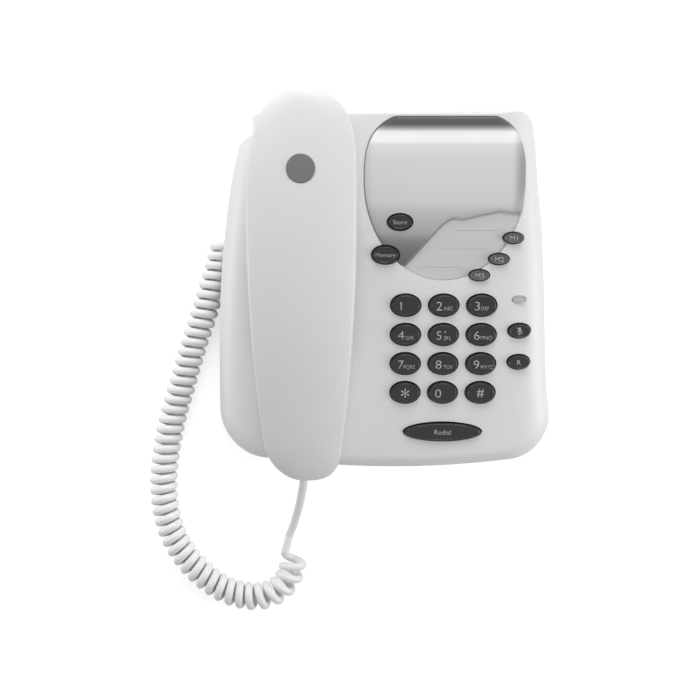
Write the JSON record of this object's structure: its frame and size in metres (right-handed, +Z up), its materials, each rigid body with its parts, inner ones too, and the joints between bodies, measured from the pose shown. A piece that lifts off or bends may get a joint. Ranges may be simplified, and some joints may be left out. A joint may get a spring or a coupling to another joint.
{
  "type": "corded telephone",
  "caption": "Sloped white desk telephone with a lift-off handset in a cradle, dark oval keys, a silver shield-shaped panel over a memory card, and a curly handset cord.",
  "frame": {"origin": "on the table, under the middle of the box round base and handset, cord left out", "axes": "+X to the user's right, +Y from the user towards the back of the telephone, +Z up"},
  "size_m": [0.2201, 0.2766, 0.0744],
  "materials": {
    "white_plastic": "satin",
    "cord_plastic": "satin",
    "key_plastic": "satin",
    "silver": "silver paint, satin",
    "rubber": "matte",
    "steel": "zinc plated",
    "circuit_board": "solder mask",
    "black_plastic": "satin",
    "clear": "clear plastic",
    "lens": "translucent",
    "paper": "matte card",
    "badge": "grey metallic print"
  },
  "bodies": {
    "base": {"base_top_housing": "white_plastic", "base_bottom_housing": "white_plastic", "foot_front_left": "rubber", "foot_front_right": "rubber", "foot_back_left": "rubber", "foot_back_right": "rubber", "base_screw_front_left": "steel", "base_screw_front_right": "steel", "base_screw_back_left": "steel", "base_screw_back_right": "steel", "silver_fascia": "silver", "memory_card": "paper", "card_cover": "clear", "keypad_membrane": "rubber", "main_circuit_board": "circuit_board", "lamp_lens": "lens", "lamp": "lens", "hook_switch": "black_plastic", "hook_spring": "steel", "line_jack": "black_plastic", "ringer_sounder": "black_plastic", "base_weight": "steel", "base_cord_jack": "black_plastic", "base_cord_plug": "clear", "cord_curls": "cord_plastic", "cord_tail": "cord_plastic"},
    "handset": {"handset_outer_shell": "white_plastic", "handset_inner_shell": "white_plastic", "handset_badge": "badge", "ear_speaker": "black_plastic", "microphone": "steel", "handset_weight": "steel", "handset_screw_upper": "steel", "handset_screw_lower": "steel", "handset_cord_jack": "black_plastic", "handset_cord_plug": "clear"},
    "hook_plunger": {"hook_plunger": "key_plastic"},
    "ringer_switch": {"ringer_switch": "black_plastic"},
    "dial_mode_switch": {"dial_mode_switch": "black_plastic"},
    "key_1": {"key_1": "key_plastic"},
    "key_2": {"key_2": "key_plastic"},
    "key_3": {"key_3": "key_plastic"},
    "key_4": {"key_4": "key_plastic"},
    "key_5": {"key_5": "key_plastic"},
    "key_6": {"key_6": "key_plastic"},
    "key_7": {"key_7": "key_plastic"},
    "key_8": {"key_8": "key_plastic"},
    "key_9": {"key_9": "key_plastic"},
    "key_star": {"key_star": "key_plastic"},
    "key_0": {"key_0": "key_plastic"},
    "key_hash": {"key_hash": "key_plastic"},
    "key_redial": {"key_redial": "key_plastic"},
    "key_store": {"key_store": "key_plastic"},
    "key_memory": {"key_memory": "key_plastic"},
    "key_m1": {"key_m1": "key_plastic"},
    "key_m2": {"key_m2": "key_plastic"},
    "key_m3": {"key_m3": "key_plastic"},
    "key_mute": {"key_mute": "key_plastic"},
    "key_recall": {"key_recall": "key_plastic"}
  },
  "joints": [
    {"name": "handset_lift", "type": "slide", "parent": "base", "child": "handset", "axis": [0, -0.1822, 0.9833], "range_m": [0, 0.06], "deforming": ["cord_tail"]},
    {"name": "hook_rise", "type": "slide", "parent": "base", "child": "hook_plunger", "axis": [0, -0.1822, 0.9833], "range_m": [0, 0.004], "deforming": ["hook_spring"]},
    {"name": "ringer_slide", "type": "slide", "parent": "base", "child": "ringer_switch", "axis": [1, 0, 0], "range_m": [-0.003, 0.003]},
    {"name": "dial_mode_slide", "type": "slide", "parent": "base", "child": "dial_mode_switch", "axis": [1, 0, 0], "range_m": [-0.003, 0.003]},
    {"name": "press_1", "type": "slide", "parent": "base", "child": "key_1", "axis": [0, 0.1822, -0.9833], "range_m": [0, 0.0016], "stiffness_N_per_m": 400, "springref_m": -0.0004, "deforming": ["keypad_membrane"]},
    {"name": "press_2", "type": "slide", "parent": "base", "child": "key_2", "axis": [0, 0.1822, -0.9833], "range_m": [0, 0.0016], "stiffness_N_per_m": 400, "springref_m": -0.0004, "deforming": ["keypad_membrane"]},
    {"name": "press_3", "type": "slide", "parent": "base", "child": "key_3", "axis": [0, 0.1822, -0.9833], "range_m": [0, 0.0016], "stiffness_N_per_m": 400, "springref_m": -0.0004, "deforming": ["keypad_membrane"]},
    {"name": "press_4", "type": "slide", "parent": "base", "child": "key_4", "axis": [0, 0.1822, -0.9833], "range_m": [0, 0.0016], "stiffness_N_per_m": 400, "springref_m": -0.0004, "deforming": ["keypad_membrane"]},
    {"name": "press_5", "type": "slide", "parent": "base", "child": "key_5", "axis": [0, 0.1822, -0.9833], "range_m": [0, 0.0016], "stiffness_N_per_m": 400, "springref_m": -0.0004, "deforming": ["keypad_membrane"]},
    {"name": "press_6", "type": "slide", "parent": "base", "child": "key_6", "axis": [0, 0.1822, -0.9833], "range_m": [0, 0.0016], "stiffness_N_per_m": 400, "springref_m": -0.0004, "deforming": ["keypad_membrane"]},
    {"name": "press_7", "type": "slide", "parent": "base", "child": "key_7", "axis": [0, 0.1822, -0.9833], "range_m": [0, 0.0016], "stiffness_N_per_m": 400, "springref_m": -0.0004, "deforming": ["keypad_membrane"]},
    {"name": "press_8", "type": "slide", "parent": "base", "child": "key_8", "axis": [0, 0.1822, -0.9833], "range_m": [0, 0.0016], "stiffness_N_per_m": 400, "springref_m": -0.0004, "deforming": ["keypad_membrane"]},
    {"name": "press_9", "type": "slide", "parent": "base", "child": "key_9", "axis": [0, 0.1822, -0.9833], "range_m": [0, 0.0016], "stiffness_N_per_m": 400, "springref_m": -0.0004, "deforming": ["keypad_membrane"]},
    {"name": "press_star", "type": "slide", "parent": "base", "child": "key_star", "axis": [0, 0.1822, -0.9833], "range_m": [0, 0.0016], "stiffness_N_per_m": 400, "springref_m": -0.0004, "deforming": ["keypad_membrane"]},
    {"name": "press_0", "type": "slide", "parent": "base", "child": "key_0", "axis": [0, 0.1822, -0.9833], "range_m": [0, 0.0016], "stiffness_N_per_m": 400, "springref_m": -0.0004, "deforming": ["keypad_membrane"]},
    {"name": "press_hash", "type": "slide", "parent": "base", "child": "key_hash", "axis": [0, 0.1822, -0.9833], "range_m": [0, 0.0016], "stiffness_N_per_m": 400, "springref_m": -0.0004, "deforming": ["keypad_membrane"]},
    {"name": "press_redial", "type": "slide", "parent": "base", "child": "key_redial", "axis": [0, 0.1822, -0.9833], "range_m": [0, 0.0016], "stiffness_N_per_m": 400, "springref_m": -0.0004, "deforming": ["keypad_membrane"]},
    {"name": "press_store", "type": "slide", "parent": "base", "child": "key_store", "axis": [0, 0.1822, -0.9833], "range_m": [0, 0.0016], "stiffness_N_per_m": 400, "springref_m": -0.0004, "deforming": ["keypad_membrane"]},
    {"name": "press_memory", "type": "slide", "parent": "base", "child": "key_memory", "axis": [0, 0.1822, -0.9833], "range_m": [0, 0.0016], "stiffness_N_per_m": 400, "springref_m": -0.0004, "deforming": ["keypad_membrane"]},
    {"name": "press_m1", "type": "slide", "parent": "base", "child": "key_m1", "axis": [0, 0.1822, -0.9833], "range_m": [0, 0.0016], "stiffness_N_per_m": 400, "springref_m": -0.0004, "deforming": ["keypad_membrane"]},
    {"name": "press_m2", "type": "slide", "parent": "base", "child": "key_m2", "axis": [0, 0.1822, -0.9833], "range_m": [0, 0.0016], "stiffness_N_per_m": 400, "springref_m": -0.0004, "deforming": ["keypad_membrane"]},
    {"name": "press_m3", "type": "slide", "parent": "base", "child": "key_m3", "axis": [0, 0.1822, -0.9833], "range_m": [0, 0.0016], "stiffness_N_per_m": 400, "springref_m": -0.0004, "deforming": ["keypad_membrane"]},
    {"name": "press_mute", "type": "slide", "parent": "base", "child": "key_mute", "axis": [0, 0.1822, -0.9833], "range_m": [0, 0.0016], "stiffness_N_per_m": 400, "springref_m": -0.0004, "deforming": ["keypad_membrane"]},
    {"name": "press_recall", "type": "slide", "parent": "base", "child": "key_recall", "axis": [0, 0.1822, -0.9833], "range_m": [0, 0.0016], "stiffness_N_per_m": 400, "springref_m": -0.0004, "deforming": ["keypad_membrane"]}
  ],
  "couplings": [
    {"joint": "hook_rise", "follows": "handset_lift", "ratio": 0.066667}
  ]
}
